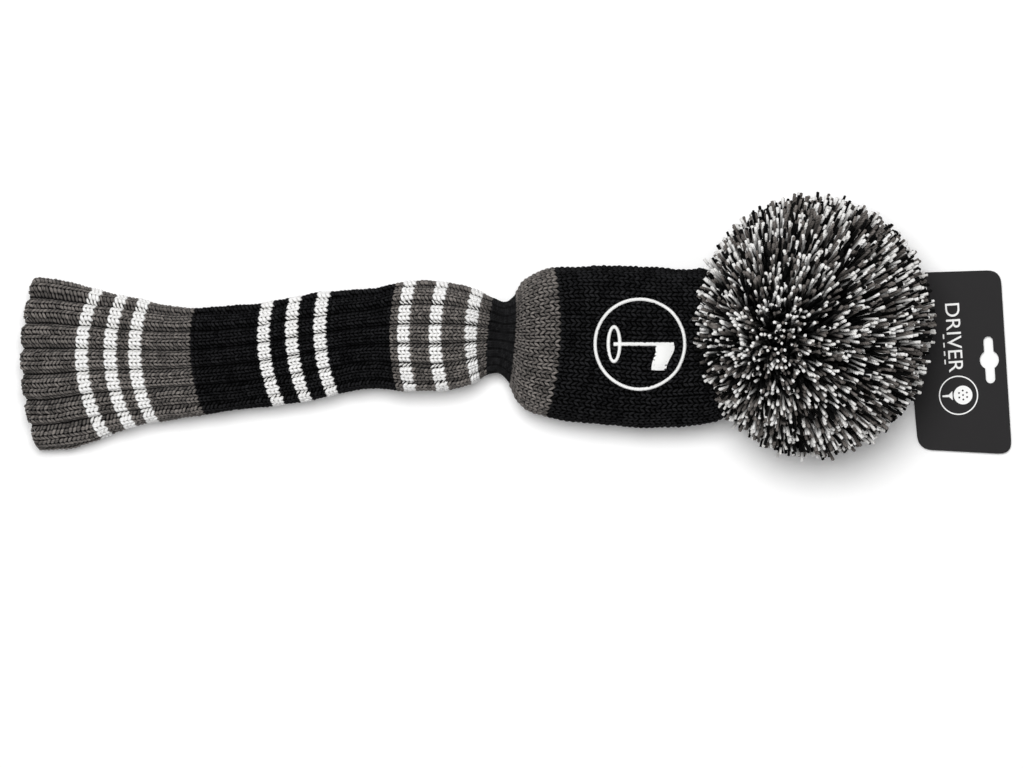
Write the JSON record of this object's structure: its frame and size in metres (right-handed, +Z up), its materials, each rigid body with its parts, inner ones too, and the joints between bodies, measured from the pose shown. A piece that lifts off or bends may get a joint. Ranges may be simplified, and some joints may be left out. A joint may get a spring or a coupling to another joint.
{
  "type": "driver head cover",
  "caption": "Knitted golf driver head cover with striped ribbed sleeve, elastic neck, padded head pocket, badge, pom-pom and slotted hang card.",
  "frame": {"origin": "centre of the footprint, on the surface the cover lies on", "axes": "+X from the hem towards the pom-pom and hang card, +Z up from the surface through the badge side"},
  "size_m": [0.5667, 0.1456, 0.116],
  "materials": {
    "grey_yarn": "matte",
    "black_yarn": "matte",
    "white_yarn": "matte",
    "elastic": "matte",
    "fleece": "matte",
    "embroidery_thread": "satin",
    "black_plastic": "matte",
    "pom_yarn": "matte",
    "dark_card": "matte",
    "clear_plastic": "satin"
  },
  "bodies": {
    "head": {"head_band_grey": "grey_yarn", "head_body_black": "black_yarn", "head_lining": "fleece", "badge_ring": "embroidery_thread", "badge_emblem": "embroidery_thread", "pom_tie": "black_yarn", "crown_button": "black_plastic"},
    "neck": {"neck_rib_black": "black_yarn", "neck_elastic": "elastic"},
    "sleeve_upper": {"mid_stripe_1_white": "white_yarn", "mid_band_1_black": "black_yarn", "mid_stripe_2_white": "white_yarn", "mid_band_2_black": "black_yarn", "mid_stripe_3_white": "white_yarn", "upper_sleeve_black": "black_yarn", "upper_sleeve_grey": "grey_yarn", "top_stripe_1_white": "white_yarn", "top_band_1_grey": "grey_yarn", "top_stripe_2_white": "white_yarn", "top_band_2_grey": "grey_yarn", "top_stripe_3_white": "white_yarn", "collar_grey": "grey_yarn"},
    "sleeve_lower": {"hem_cuff_grey": "grey_yarn", "cuff_stripe_1_white": "white_yarn", "cuff_band_1_grey": "grey_yarn", "cuff_stripe_2_white": "white_yarn", "cuff_band_2_grey": "grey_yarn", "cuff_stripe_3_white": "white_yarn", "lower_sleeve_grey": "grey_yarn", "lower_sleeve_black": "black_yarn"},
    "pom": {"pom_pom": "pom_yarn", "tag_pin": "clear_plastic"},
    "card": {"hang_card": "dark_card"}
  },
  "joints": [
    {"name": "neck_side_bend", "type": "hinge", "parent": "head", "child": "neck", "pos_m": [-0.0045, -0.0073, 0.013], "axis": [0, 0, 1], "range_deg": [-25, 25], "deforming": ["neck_rib_black", "neck_elastic"]},
    {"name": "neck_fold", "type": "hinge", "parent": "neck", "child": "sleeve_upper", "pos_m": [-0.013, -0.0063, 0.0135], "axis": [0, 1, 0], "range_deg": [-30, 30]},
    {"name": "sleeve_fold", "type": "hinge", "parent": "sleeve_upper", "child": "sleeve_lower", "pos_m": [-0.1652, -0.0185, 0.017], "axis": [0, 1, 0], "range_deg": [-60, 60], "deforming": ["lower_sleeve_black"]},
    {"name": "pom_tilt", "type": "hinge", "parent": "head", "child": "pom", "pos_m": [0.1432, -0.0105, 0.024], "axis": [0, 1, 0], "range_deg": [-25, 25], "deforming": ["pom_pom"]},
    {"name": "card_swing", "type": "hinge", "parent": "pom", "child": "card", "pos_m": [0.2295, -0.019, 0.0017], "axis": [0, 0, 1], "range_deg": [-18, 18]}
  ]
}
